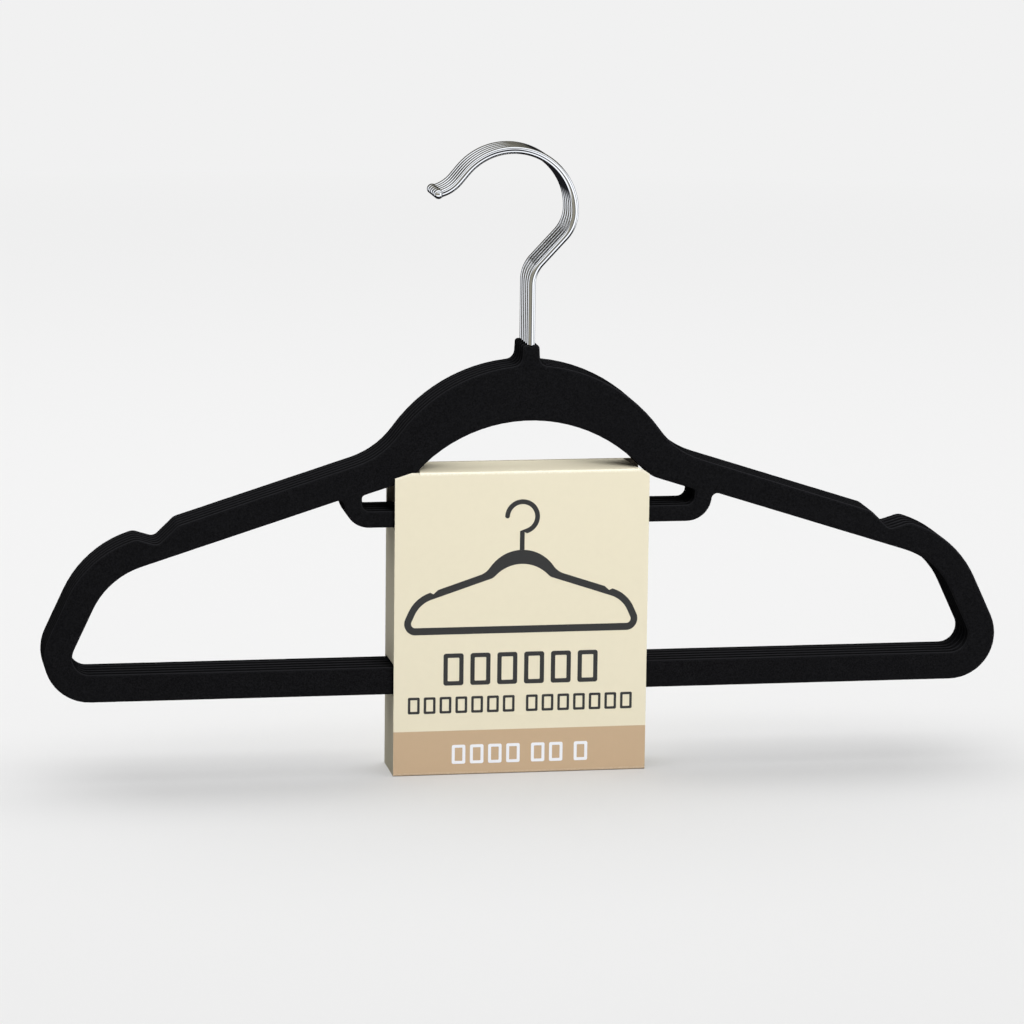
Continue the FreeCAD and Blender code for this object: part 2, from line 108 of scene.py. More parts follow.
class Shader(Nodes):
    """Builds one material around its Principled surface."""

    def __init__(self, name):
        self.material = bpy.data.materials.new(name)
        self.material.use_nodes = True
        super().__init__(self.material.node_tree)
        self.surface = self.tree.nodes["Principled BSDF"]
        self.object_space = self.add("ShaderNodeTexCoord").outputs["Object"]

    def principled(self, **inputs):
        for key, value in inputs.items():
            self.feed(self.surface.inputs[key.replace("_", " ")], value)

    def noise(self, size_mm, detail=3.0, roughness=0.5, stretch=None):
        """Noise whose grain has about the given size; stretch scales X, Y and Z of the pattern."""
        place = self.object_space
        if stretch:
            place = self.add("ShaderNodeMapping", {"Vector": place, "Scale": stretch}).outputs["Vector"]
        inputs = {"Vector": place, "Scale": 1 / (size_mm * MM), "Detail": detail, "Roughness": roughness}
        return self.add("ShaderNodeTexNoise", inputs).outputs["Fac"]

    def bump(self, height, depth_mm, strength=1.0, normal=None):
        inputs = {"Height": height, "Distance": depth_mm * MM, "Strength": strength}
        if normal is not None:
            inputs["Normal"] = normal
        return self.add("ShaderNodeBump", inputs).outputs["Normal"]

    def attribute(self, name):
        return self.add("ShaderNodeAttribute", attribute_name=name).outputs["Fac"]


# ---------------------------------------------------------------- materials

def velvet_material():
    """Near-black nylon flock: a fine nap brushed in soft patches, with a painted sheen highlight where it
    starts to turn away from the eye and painted shade where it's seen at a grazing angle, both put into the
    base colour."""
    shader = Shader("velvet_flock")
    nap = shader.noise(0.5, detail=3.0, roughness=0.75)
    brushed = shader.noise(11.0, detail=2.5, stretch=(1.0, 1.0, 1.6))
    pile = shader.mix(shader.ramp(nap, 0.34, 0.66), linear(8, 8, 9), linear(31, 31, 33))
    shaded = shader.mix(shader.scaled(brushed, 0.0, 0.5), pile, linear(15, 15, 16))
    grazing = shader.add("ShaderNodeLayerWeight", {"Blend": 0.5}).outputs["Facing"]
    # painted sheen highlight: paler base colour where the surface starts to turn away from the eye
    rim = shader.mix(shader.ramp(grazing, 0.1, 0.3), shaded, linear(33, 33, 35))
    # painted shade: darkest base colour where the surface is seen at a grazing angle
    tone = shader.mix(shader.ramp(grazing, 0.4, 0.75), rim, linear(6, 6, 7))
    normal = shader.bump(nap, 0.12, 0.5, shader.bump(brushed, 0.2, 0.5))
    shader.principled(Base_Color=tone, Roughness=0.95, Specular_IOR_Level=0.0, Sheen_Weight=0.01,
                      Sheen_Roughness=0.4, Normal=normal)
    return shader.material


def core_material():
    """Black moulded ABS with a fine spark-eroded texture."""
    shader = Shader("moulded_core")
    texture = shader.noise(0.3, detail=2.0)
    tone = shader.mix(texture, linear(30, 30, 32), linear(42, 42, 44))
    shader.principled(Base_Color=tone, Roughness=shader.scaled(texture, 0.45, 0.6),
                      Normal=shader.bump(texture, 0.03, 0.4))
    return shader.material


def chrome_material():
    """Polished chrome plate over drawn wire, with faint handling haze."""
    shader = Shader("polished_chrome")
    haze = shader.noise(6.0, detail=4.0)
    drawn = shader.noise(0.5, detail=2.0, stretch=(1.0, 1.0, 0.08))
    shader.principled(Base_Color=shader.mix(haze, linear(232, 234, 238), linear(246, 246, 247)), Metallic=1.0,
                      Roughness=shader.scaled(shader.ramp(haze, 0.35, 0.7), 0.04, 0.10),
                      Normal=shader.bump(drawn, 0.001, 0.12))
    return shader.material


def board_material(name, face, crease_wear_and_highlight):
    """Clay-coated board: even colour with faint fibre mottle, paler along each fold, partly whitened coating
    and partly a painted highlight of the rounded crease.
    """
    shader = Shader(name)
    mottle = shader.noise(3.5, detail=5.0, roughness=0.6)
    fibre = shader.noise(0.35, detail=3.0, stretch=(1.0, 1.0, 0.45))
    tint = tuple(channel * 0.93 for channel in face[:3]) + (1.0,)
    even = shader.mix(shader.scaled(mottle, 0.0, 0.55), face, tint)
    # paler crease colour: whitened coating where the board was folded, plus a painted highlight where the
    # rounded fold catches light
    crease_wear_and_highlight_share = shader.math("MULTIPLY", shader.attribute("crease"), shader.ramp(fibre, 0.3, 0.9))
    shader.principled(Base_Color=shader.mix(crease_wear_and_highlight_share, even, crease_wear_and_highlight), Roughness=shader.scaled(mottle, 0.42, 0.58),
                      Specular_IOR_Level=0.35, Normal=shader.bump(fibre, 0.012, 0.5))
    return shader.material


def raw_board_material(name, light, dark):
    """Uncoated grey-brown back of the board and its layered cut edges."""
    shader = Shader(name)
    layers = shader.noise(0.18, detail=3.0)
    fibre = shader.noise(1.2, detail=5.0, roughness=0.7, stretch=(1.0, 1.0, 0.4))
    tone = shader.mix(shader.ramp(fibre, 0.3, 0.7), light, dark)
    shader.principled(Base_Color=tone, Roughness=0.85, Specular_IOR_Level=0.2,
                      Normal=shader.bump(layers, 0.03, 0.6))
    return shader.material


def ink_material(name, ink, rub):
    """Printing ink: thin, a little glossier than the board, with pinholes that let the board through."""
    shader = Shader(name)
    pinholes = shader.noise(0.22, detail=2.0, roughness=0.8)
    density = shader.noise(5.0, detail=3.0)
    tone = shader.mix(shader.ramp(pinholes, 0.66, 0.8), ink, rub)
    shader.principled(Base_Color=tone, Roughness=shader.scaled(density, 0.38, 0.5), Specular_IOR_Level=0.4,
                      Normal=shader.bump(pinholes, 0.006, 0.4))
    return shader.material


def dress(node, material):
    """Gives a CAD node one material all over."""
    node.data.materials.clear()
    node.data.materials.append(material)


# ---------------------------------------------------------------- mesh helpers

def new_piece(name, mesh, body, slot, *materials):
    """Object for a finished mesh, riding on a body."""
    piece = bpy.data.objects.new(name, mesh)
    bpy.context.scene.collection.objects.link(piece)
    for material in materials:
        mesh.materials.append(material)
    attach(piece, body)
    return piece


def spread(low, high, step, *stops):
    """Values from low to high through every stop, no further apart than step."""
    marks = sorted({low, high, *[stop for stop in stops if low < stop < high]})
    values = [low]
    for first, last in zip(marks, marks[1:]):
        count = max(1, math.ceil((last - first) / step - 1e-6))
        values += [first + (last - first) * index / count for index in range(1, count + 1)]
    return values


# ---------------------------------------------------------------- velvet

FLOCK_THICK = 0.35
WELD = 0.001                            # points nearer than this are one
COAT_VOXEL = 0.7
NAP = ((2.2, 0.035), (9.0, 0.05))       # size and depth of the pile's unevenness


def outer_skin(flock, core):
    """Closed bmesh of a flock node's outer side alone, with a fan over its mouth round the hook."""
    bm = bmesh.new()
    bm.from_mesh(flock.data)
    bmesh.ops.remove_doubles(bm, verts=bm.verts, dist=WELD * MM)
    core_bm = bmesh.new()
    core_bm.from_mesh(core.data)
    core_tree = BVHTree.FromBMesh(core_bm)
    core_bm.free()
    hidden = [face for face in bm.faces
              if core_tree.find_nearest(face.calc_center_median())[3] < FLOCK_THICK / 2 * MM]
    bmesh.ops.delete(bm, geom=hidden, context="FACES")
    rim = [edge for edge in bm.edges if edge.is_boundary]
    rim_points = {vertex for edge in rim for vertex in edge.verts}
    hub = bm.verts.new(sum((vertex.co for vertex in rim_points), Vector()) / len(rim_points))
    for edge in rim:
        bm.faces.new((*edge.verts, hub))
    bmesh.ops.triangulate(bm, faces=bm.faces)
    bmesh.ops.recalc_face_normals(bm, faces=bm.faces)
    return bm


def napped_mesh(bm, voxel):
    """Mesh of evenly sized faces over a closed bmesh, sunk unevenly as pile is, shaded as the original."""
    tree = BVHTree.FromBMesh(bm)
    mesh = bpy.data.meshes.new("velvet_coat")
    bm.to_mesh(mesh)
    holder = bpy.data.objects.new("velvet_coat", mesh)
    bpy.context.scene.collection.objects.link(holder)
    remesh = holder.modifiers.new("remesh", "REMESH")
    remesh.mode = "VOXEL"
    remesh.voxel_size = voxel * MM
    even = bpy.data.meshes.new_from_object(holder.evaluated_get(bpy.context.evaluated_depsgraph_get()))
    bpy.data.objects.remove(holder)
    bpy.data.meshes.remove(mesh)
    normals = []
    for vertex in even.vertices:
        place, normal, _, _ = tree.find_nearest(vertex.co)
        rise = sum(height * noise.noise(place / (size * MM)) for size, height in NAP)
        vertex.co = place - normal * (abs(rise) * MM)
        normals.append(normal)
    for polygon in even.polygons:
        polygon.use_smooth = True
    even.normals_split_custom_set_from_vertices(normals)
    return even


def make_coats(material):
    """One velvet coat for each hanger, all cut from the middle hanger's flock."""
    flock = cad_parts["velvet_flock_%d" % MIDDLE_HANGER]
    skin = outer_skin(flock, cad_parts["hanger_core_%d" % MIDDLE_HANGER])
    mesh = napped_mesh(skin, COAT_VOXEL)
    skin.free()
    mesh.materials.append(material)
    middle_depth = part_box(flock.name)[0].y
    for number in HANGERS:
        node = "velvet_flock_%d" % number
        coat = bpy.data.objects.new("velvet_coat_%d" % number, mesh)
        coat.location.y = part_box(node)[0].y - middle_depth
        bpy.context.scene.collection.objects.link(coat)
        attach(coat, "hanger_stack")
        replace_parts(coat, node)


# ---------------------------------------------------------------- carton board

BOARD = 0.6
FOLD_ROUND = 0.8                # outside of a crease
FOLD_STEPS = 6
PANEL_STEP = 4.0
CREASE_REACH = 0.8              # how far the paler crease colour, part wear and part painted highlight, reaches past a fold
SHARP_ANGLE = math.radians(35)
PRINT_PROUD = 0.05              # thickness of a printed layer
SEAT_GAP = 0.1


class Path:
    """Outer line of folded board through corners in a plane, with a rounded fold at each inner corner."""

    def __init__(self, corners, stops=()):
        self.samples = []       # (place, outward normal, crease)
        corners = [Vector(corner) for corner in corners]
        start = corners[0]
        for index in range(1, len(corners)):
            along = (corners[index] - corners[index - 1]).normalized()
            last = index == len(corners) - 1
            end = corners[index] if last else corners[index] - along * FOLD_ROUND
            self.straight(start, end, along, index > 1, not last, stops)
            if not last:
                onward = (corners[index + 1] - corners[index]).normalized()
                self.fold(end, along, onward)
                start = corners[index] + onward * FOLD_ROUND

    def straight(self, start, end, along, folded_before, folded_after, stops):
        outward = Vector((-along.y, along.x))
        run = (end - start).length
        marks = [(Vector(stop) - start).dot(along) for stop in stops]
        ends = [CREASE_REACH] * folded_before + [run - CREASE_REACH] * folded_after
        for reach in spread(0.0, run, PANEL_STEP, *marks, *ends):
            from_fold = min(reach if folded_before else run, run - reach if folded_after else run)
            crease = max(0.0, 1.0 - from_fold / CREASE_REACH)
            self.samples.append((start + along * reach, outward, crease))

    def fold(self, start, along, onward):
        turn = 1.0 if along.x * onward.y - along.y * onward.x > 0 else -1.0
        centre = start + Vector((-along.y, along.x)) * turn * FOLD_ROUND
        for step in range(1, FOLD_STEPS):
            angle = turn * math.pi / 2 * step / FOLD_STEPS
            cosine, sine = math.cos(angle), math.sin(angle)
            arm = start - centre
            arm = Vector((arm.x * cosine - arm.y * sine, arm.x * sine + arm.y * cosine))
            outward = Vector((-along.y * cosine - along.x * sine, along.x * cosine - along.y * sine))
            self.samples.append((centre + arm, outward, 1.0))


def folded_board(path, widths, solid, place, kind):
    """Mesh of a folded panel: the path swept across its widths, as closed board of even thickness.

    solid(point, width) says which cells are board, place(point, width) turns a point of the path's
    plane and a width into a place in millimetres, and kind(point) gives the outer face's material.
    """
    samples = path.samples
    bm = bmesh.new()
    crease_layer = bm.verts.layers.float.new("crease")
    grid = {}

    def vertex(row, column, layer):
        key = (row, column, layer)
        if key not in grid:
            point, outward, crease = samples[row]
            spot = place(point - outward * (BOARD * layer), widths[column])
            grid[key] = bm.verts.new(Vector(spot) * MM)
            grid[key][crease_layer] = crease
        return grid[key]

    def is_board(row, column):
        if not (0 <= row < len(samples) - 1 and 0 <= column < len(widths) - 1):
            return False
        middle = (samples[row][0] + samples[row + 1][0]) / 2
        return solid(middle, (widths[column] + widths[column + 1]) / 2)

    for row in range(len(samples) - 1):
        for column in range(len(widths) - 1):
            if not is_board(row, column):
                continue
            ring = [(row, column), (row, column + 1), (row + 1, column + 1), (row + 1, column)]
            outer = bm.faces.new([vertex(*corner, 0) for corner in ring])
            outer.material_index = kind((samples[row][0] + samples[row + 1][0]) / 2)
            inner = bm.faces.new([vertex(*corner, 1) for corner in reversed(ring)])
            inner.material_index = 1
            outer.smooth = inner.smooth = True
            beyond = [(row - 1, column), (row, column + 1), (row + 1, column), (row, column - 1)]
            for (first, second), neighbour in zip(zip(ring, ring[1:] + ring[:1]), beyond):
                if not is_board(*neighbour):
                    rim = bm.faces.new([vertex(*second, 0), vertex(*first, 0),
                                        vertex(*first, 1), vertex(*second, 1)])
                    rim.material_index = 2
    bmesh.ops.recalc_face_normals(bm, faces=bm.faces)
    mesh = bpy.data.meshes.new("board")
    bm.to_mesh(mesh)
    bm.free()
    mesh.set_sharp_from_angle(angle=SHARP_ANGLE)
    return mesh


# ---------------------------------------------------------------- carton

BAR_SLOT = (35.3, 49.2)         # heights of the slots that the trouser bars pass through
SHOULDER_SLOT_LOW = 109.2       # the upper slots are open at the top
SLOT_BACK = 11.7                # how far back the slots reach
WALL_BOW = 0.3                  # how far the middle of a wall has sunk inwards
GLUE_FLAP = 9.0
TOP_HALF_FRONT = 48.4           # the top panel narrows to pass under the arches as it swings
TOP_HALF_BACK = 45.4
FOLD_NOTCH = 0.2                # cut that frees the top panel from the front panel's shoulders
TUCK_LOW = 121.0
TUCK_HALF = 41.0
TUCK_ROUND = 6.0
TRIM_LEFT = 7.3                 # trimmed upper corners of the front panel
TRIM_RIGHT = 3.5
TRIM_TALL = 2.3
TRIM_REACH = 6.0                # height over which the mesh closes up to make the trim
BAND_TALL = 19.8                # tan band along the foot of the front panel


def carton_sizes():
    """The carton's middle X, half width, front, back and height, in millimetres."""
    low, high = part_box("carton_cover")
    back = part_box("carton_tray")[1].y
    return ((low.x + high.x) / 2 / MM, (high.x - low.x) / 2 / MM, low.y / MM, back / MM, high.z / MM)


def make_walls(*materials):
    """Left side, back and right side, with the slots for the hangers."""
    middle, half, front, back, tall = carton_sizes()
    edge = front + PRINT_PROUD + BOARD + SEAT_GAP
    corners = [(-half, edge), (-half, back), (half, back), (half, edge)]
    path = Path(corners, stops=[(-half, SLOT_BACK), (half, SLOT_BACK)])
    heights = spread(0.0, tall, PANEL_STEP, *BAR_SLOT, SHOULDER_SLOT_LOW)

    def solid(point, height):
        in_slot = BAR_SLOT[0] < height < BAR_SLOT[1] or height > SHOULDER_SLOT_LOW
        return point.y > SLOT_BACK or not in_slot

    def place(point, height):
        x, y = point
        sag = WALL_BOW * math.sin(math.pi * height / tall)
        if abs(x) > half - FOLD_ROUND:
            x -= math.copysign(sag * (back - y) / (back - front), x)
        if y > back - FOLD_ROUND:
            y -= sag * math.cos(math.pi / 2 * x / half)
        return (middle + x, y, height)

    mesh = folded_board(path, heights, solid, place, lambda point: 0)
    return new_piece("carton_walls", mesh, "hanger_stack", "board", *materials)


def make_base(*materials):
    """Bottom panel, with a glue flap turned up inside each side wall."""
    middle, half, front, back, _ = carton_sizes()
    reach = half - BOARD - SEAT_GAP
    path = Path([(reach, GLUE_FLAP), (reach, 0.0), (-reach, 0.0), (-reach, GLUE_FLAP)])
    depths = spread(front + FOLD_ROUND + SEAT_GAP, back - BOARD - SEAT_GAP, PANEL_STEP)
    mesh = folded_board(path, depths, lambda point, depth: True,
                        lambda point, depth: (middle + point.x, depth, point.y), lambda point: 0)
    return new_piece("carton_base", mesh, "hanger_stack", "board", *materials)


def make_front(*materials):
    """Front panel, top panel and tuck flap, folded from one piece of board.

    Widths run from the carton's middle; the top panel and the flap are even about the hangers'.
    """
    middle, half, front, back, tall = carton_sizes()
    face = front + PRINT_PROUD
    rear = back - BOARD - SEAT_GAP
    path = Path([(face + FOLD_ROUND, 0.0), (face, 0.0), (face, tall), (rear, tall), (rear, TUCK_LOW)],
                stops=[(face, BAND_TALL), (face, tall - TRIM_REACH), (rear, TUCK_LOW + TUCK_ROUND)])
    halves = [TOP_HALF_FRONT + FOLD_NOTCH, TOP_HALF_FRONT, TUCK_HALF, TUCK_HALF - TUCK_ROUND]
    stops = [sign * reach - middle for reach in halves for sign in (-1, 1)]
    widths = spread(-half, half, PANEL_STEP, TRIM_LEFT - half, half - TRIM_RIGHT, *stops)
    crease = tall - FOLD_ROUND

    def solid(point, width):
        side = abs(middle + width)
        if point.x < face + FOLD_ROUND:
            return point.y < crease or not TOP_HALF_FRONT < side < TOP_HALF_FRONT + FOLD_NOTCH
        return side < (TOP_HALF_FRONT if point.y > crease else TUCK_HALF)

    def place(point, width):
        depth, height = point
        x = middle + width
        side = abs(x)
        if side > TOP_HALF_FRONT + FOLD_NOTCH / 2 and height > crease:
            depth, height = unfolded(depth, height)
        trim = max((width - half + TRIM_RIGHT) / TRIM_RIGHT, (TRIM_LEFT - half - width) / TRIM_LEFT)
        if trim > 0 and height > tall - TRIM_REACH:
            height -= trim * TRIM_TALL * (height - tall + TRIM_REACH) / TRIM_REACH
        if TUCK_HALF < side < TOP_HALF_FRONT + FOLD_NOTCH / 2 and depth > face + FOLD_ROUND:
            narrowing = (TOP_HALF_FRONT - TOP_HALF_BACK) * (depth - face) / (rear - face)
            side -= narrowing * (side - TUCK_HALF) / (TOP_HALF_FRONT - TUCK_HALF)
        inwards = side - TUCK_HALF + TUCK_ROUND
        down = TUCK_LOW + TUCK_ROUND - height
        if depth > rear - FOLD_ROUND and inwards > 0 and down > 0:
            squeeze = max(inwards, down) / math.hypot(inwards, down)
            side += inwards * (squeeze - 1)
            height -= down * (squeeze - 1)
        return (math.copysign(side, x), depth, height)

    def unfolded(depth, height):
        """Place of a point of the upper front fold if the board ran straight up instead."""
        arm_depth = face + FOLD_ROUND - depth
        arm_height = height - crease
        turned = math.atan2(arm_height, arm_depth) / (math.pi / 2)
        return (face + FOLD_ROUND - math.hypot(arm_depth, arm_height), crease + turned * FOLD_ROUND)

    def kind(point):
        return 3 if point.x < face + FOLD_ROUND and point.y < BAND_TALL else 0

    mesh = folded_board(path, widths, solid, place, kind)
    return new_piece("carton_front", mesh, "cover_body", "printed_board", *materials)


# ---------------------------------------------------------------- print on the front panel

ARC_TURN = math.radians(6)
SYMBOL_SPAN = 102.7             # the printed hanger
SYMBOL_LOW = 62.7
SYMBOL_TALL = 36.7
SYMBOL_LINE = 2.1               # thickness of the printed hook
BOW_ROUND = 6.6
BOW_RISE = 14.6                 # from the printed hanger's top to the middle of the bow
BOW_FROM = math.radians(-74)
BOW_TO = math.radians(176)
STEM_SHORT = 0.2                # how far below the bow's start the stem's straight line ends
BLOCK_GAP = 0.34                # space between two blocks, as a share of a block's width
BLOCK_ROUNDS = (0.6, 0.2)       # outer and inner corners, as shares of the line's thickness
TITLE = dict(counts=[6], reach=34.0, low=40.0, high=54.2, word_gap=0.0, stroke=1.9)
SUBTITLE = dict(counts=[7, 7], reach=49.5, low=27.6, high=35.0, word_gap=5.0, stroke=1.1)
COUNT = dict(counts=[4, 2, 1], reach=30.0, low=4.9, high=13.4, word_gap=5.0, stroke=1.3)

# Outline of the hanger that is drawn, in mm from its middle and from the underside of its bar: an
# arch is the height of its centre, its radius and the radius that blends it into the shoulder.
HANGER_SPAN = 420.0
FOOT_REACH = 221.5
LEG_LEAN = 0.4684
SHOULDER_PEAK = 125.4
SHOULDER_FALL = 0.319
BAND = 12.3
OUTER_ROUNDS = (20.0, 62.0)     # foot, shoulder tip
INNER_ROUNDS = (7.6, 49.6)
ARCH = (73.0, 70.7, 36.0)
HOLLOW = (52.4, 67.0, 18.0)
NOTCH = ((164.0, 0.0), (158.0, 4.6), (150.0, 0.0))      # distance from the middle, depth


def arc(centre, radius, start, end):
    """Points of an arc; it runs from start to end, in radians, whichever way that is."""
    count = max(2, math.ceil(abs(end - start) / ARC_TURN))
    angles = [start + (end - start) * index / count for index in range(count + 1)]
    return [(centre[0] + radius * math.cos(angle), centre[1] + radius * math.sin(angle)) for angle in angles]


def rounded(before, corner, after, radius):
    """Points of the arc that rounds one corner of an outline."""
    corner = Vector(corner)
    back = (Vector(before) - corner).normalized()
    onward = (Vector(after) - corner).normalized()
    half_angle = back.angle(onward) / 2
    centre = corner + (back + onward).normalized() * (radius / math.sin(half_angle))
    first = corner + back * (radius / math.tan(half_angle)) - centre
    last = corner + onward * (radius / math.tan(half_angle)) - centre
    start = math.atan2(first.y, first.x)
    turn = (math.atan2(last.y, last.x) - start + math.pi) % (2 * math.pi) - math.pi
    return arc(centre, radius, start, start + turn)


def arch_side(peak, arch):
    """Right half of an arch over a shoulder line, from the blend's foot to the arch's top."""
    centre, radius, blend = arch
    slope = math.hypot(1.0, SHOULDER_FALL)
    rise = peak + blend * slope - centre
    lean = rise * SHOULDER_FALL
    blend_x = (lean + math.sqrt(lean ** 2 - slope ** 2 * (rise ** 2 - (radius + blend) ** 2))) / slope ** 2
    blend_z = centre + rise - SHOULDER_FALL * blend_x
    foot = math.atan2(1.0, SHOULDER_FALL)
    meeting = math.atan2(blend_z - centre, blend_x)
    return (arc((blend_x, blend_z), blend, foot - math.pi, meeting - math.pi)
            + arc((0.0, centre), radius, meeting, math.pi / 2))


def hanger_outline(foot_reach, low, peak, rounds, arch, notch):
    """Closed outline of a hanger, or of the opening inside one."""
    foot = (foot_reach - LEG_LEAN * low, low)
    tip_x = (foot_reach - LEG_LEAN * peak) / (1 - LEG_LEAN * SHOULDER_FALL)
    tip = (tip_x, peak - SHOULDER_FALL * tip_x)
    over = arch_side(peak, arch)
    half = rounded((0.0, low), foot, tip, rounds[0]) + rounded(foot, tip, over[0], rounds[1])
    half += [(x, peak - SHOULDER_FALL * x - depth) for x, depth in notch]
    half += over
    whole = half + [(-x, z) for x, z in reversed(half[:-1])]
    wide = SYMBOL_SPAN / HANGER_SPAN
    tall = SYMBOL_TALL / (ARCH[0] + ARCH[1])
    return [(x * wide, SYMBOL_LOW + z * tall) for x, z in whole]


def hook_outline():
    """Outline of the printed hook: a line of even thickness with a round free end."""
    foot = SYMBOL_LOW + SYMBOL_TALL
    bow = (0.0, foot + BOW_RISE)
    bend = arc(bow, BOW_ROUND, BOW_FROM, BOW_TO)
    line = [Vector(spot) for spot in [(0.0, foot), (0.0, bend[0][1] - STEM_SHORT), *bend]]
    half = SYMBOL_LINE / 2
    left, right = [], []
    for index, spot in enumerate(line):
        along = (line[min(index + 1, len(line) - 1)] - line[max(index - 1, 0)]).normalized()
        across = Vector((-along.y, along.x)) * half
        left.append(spot + across)
        right.append(spot - across)
    heading = math.atan2(*(right[-1] - line[-1]).yx)
    return right + arc(line[-1], half, heading, heading + math.pi)[1:-1] + left[::-1]


def block_outlines(counts, reach, low, high, word_gap, stroke):
    """Plain open blocks that stand in for a line of words, one for each character."""
    gaps = sum(counts) - len(counts)
    free = 2 * reach - word_gap * (len(counts) - 1)
    wide = free / (sum(counts) + gaps * BLOCK_GAP)
    outer_round, inner_round = (share * stroke for share in BLOCK_ROUNDS)
    outlines = []
    x = -reach
    for count in counts:
        for _ in range(count):
            outlines.append(rounded_box(x, low, x + wide, high, outer_round))
            outlines.append(rounded_box(x + stroke, low + stroke, x + wide - stroke, high - stroke,
                                        inner_round))
            x += wide * (1 + BLOCK_GAP)
        x += word_gap - wide * BLOCK_GAP
    return outlines


def rounded_box(left, low, right, high, radius):
    """Outline of an upright rectangle with rounded corners."""
    corners = [(left, low), (right, low), (right, high), (left, high)]
    return [spot for index in range(4)
            for spot in rounded(corners[index - 1], corners[index], corners[(index + 1) % 4], radius)]


def print_layer(name, outlines, material):
    """Thin layer of ink on the front panel; an outline inside another one is a hole."""
    middle, _, front, _, _ = carton_sizes()
    curve = bpy.data.curves.new(name, "CURVE")
    curve.dimensions = "2D"
    curve.fill_mode = "BOTH"
    curve.extrude = PRINT_PROUD * MM
    for outline in outlines:
        spline = curve.splines.new("POLY")
        spline.points.add(len(outline) - 1)
        spline.use_cyclic_u = True
        for point, (x, z) in zip(spline.points, outline):
            point.co = (x * MM, z * MM, 0.0, 1.0)
    flat = bpy.data.objects.new(name, curve)
    bpy.context.scene.collection.objects.link(flat)
    mesh = bpy.data.meshes.new_from_object(flat.evaluated_get(bpy.context.evaluated_depsgraph_get()))
    bpy.data.objects.remove(flat)
    bm = bmesh.new()
    bm.from_mesh(mesh)
    bmesh.ops.remove_doubles(bm, verts=bm.verts, dist=WELD * MM)
    for vertex in bm.verts:
        x, z, proud = vertex.co
        vertex.co = (middle * MM + x, (front + PRINT_PROUD) * MM - proud, z)
    bmesh.ops.recalc_face_normals(bm, faces=bm.faces)
    bm.to_mesh(mesh)
    bm.free()
    return new_piece(name, mesh, "cover_body", "printed_board", material)


def make_print(charcoal, white):
    """Generic hanger symbol and the blocks that stand in for a title, a subtitle and a count."""
    inner_foot = FOOT_REACH - BAND * math.hypot(1.0, LEG_LEAN)
    inner_peak = SHOULDER_PEAK - BAND * math.hypot(1.0, SHOULDER_FALL)
    symbol = [hanger_outline(FOOT_REACH, 0.0, SHOULDER_PEAK, OUTER_ROUNDS, ARCH, NOTCH),
              hanger_outline(inner_foot, BAND, inner_peak, INNER_ROUNDS, HOLLOW, ())]
    print_layer("printed_hanger", symbol, charcoal)
    print_layer("printed_hook", [hook_outline()], charcoal)
    print_layer("printed_title", block_outlines(**TITLE), charcoal)
    print_layer("printed_subtitle", block_outlines(**SUBTITLE), charcoal)
    print_layer("printed_count", block_outlines(**COUNT), white)


# ---------------------------------------------------------------- studio

VIEW_AZIMUTH = math.radians(-10.0)
VIEW_ELEVATION = math.radians(11.0)
VIEW_ROLL = math.radians(0.7)
VIEW_DISTANCE = 2.0
VIEW_TARGET = Vector((-0.0057, 0.0, 0.1135))
VIEW_LENS = 161.7
SENSOR = 36.0
BACKDROP = linear(241, 241, 241)
DOME = (0.12, 0.12, 0.12, 1.0)          # what lights the pack from all round
FLOOR_REACH = 14.0
FADE_FROM = 0.25                # the floor's distances over which it turns into the backdrop
FADE_TO = 2.2
NEAR_SHARE = 0.28               # share of backdrop that the camera sees in the nearest floor
FLOOR_SEEN = linear(238, 238, 238)
FLOOR_BOUNCE = linear(190, 190, 190)

# The room that polished metal shows.  Each stop is an angle in degrees and a colour: round the pack
# from the camera's side rightwards, and over it from the camera's side of the floor to the far wall.
DARK = (0.012, 0.012, 0.014, 1.0)
WHITE = (1.25, 1.28, 1.32, 1.0)
BEIGE = (0.30, 0.285, 0.23, 1.0)
ROUND = [(-180, DARK), (-115, DARK), (-110, WHITE), (-89, WHITE), (-84, DARK), (-74, DARK), (-68, BEIGE),
         (5, BEIGE), (10, DARK), (22, DARK), (28, WHITE), (66, WHITE), (72, DARK), (82, DARK), (88, WHITE),
         (130, WHITE), (137, DARK), (180, DARK)]
OVER = [(-180, DARK), (-60, DARK), (-50, WHITE), (-26, WHITE), (-20, BEIGE), (-6, BEIGE), (0, WHITE),
        (40, WHITE), (45, DARK), (60, DARK), (66, WHITE), (92, WHITE), (98, BEIGE), (124, BEIGE),
        (130, DARK), (180, DARK)]
OVER_FROM = 0.28                # height share of a direction at which the ceiling takes over
OVER_WHOLE = 0.5


def make_camera():
    """Camera at the photo's angle, rolled a little about its own line of sight."""
    back = Vector((math.sin(VIEW_AZIMUTH) * math.cos(VIEW_ELEVATION),
                   -math.cos(VIEW_AZIMUTH) * math.cos(VIEW_ELEVATION), math.sin(VIEW_ELEVATION)))
    right = Vector((math.cos(VIEW_AZIMUTH), math.sin(VIEW_AZIMUTH), 0.0))
    up = back.cross(right)
    rolled_right = right * math.cos(VIEW_ROLL) + up * math.sin(VIEW_ROLL)
    rolled_up = up * math.cos(VIEW_ROLL) - right * math.sin(VIEW_ROLL)
    lens = bpy.data.cameras.new("camera")
    lens.lens = VIEW_LENS
    lens.sensor_width = SENSOR
    camera = bpy.data.objects.new("camera", lens)
    bpy.context.scene.collection.objects.link(camera)
    turn = camera.matrix_world.to_3x3()
    for column, axis in enumerate((rolled_right, rolled_up, back)):
        turn.col[column] = axis
    camera.matrix_world = turn.to_4x4()
    camera.location = VIEW_TARGET + back * VIEW_DISTANCE
    bpy.context.scene.camera = camera


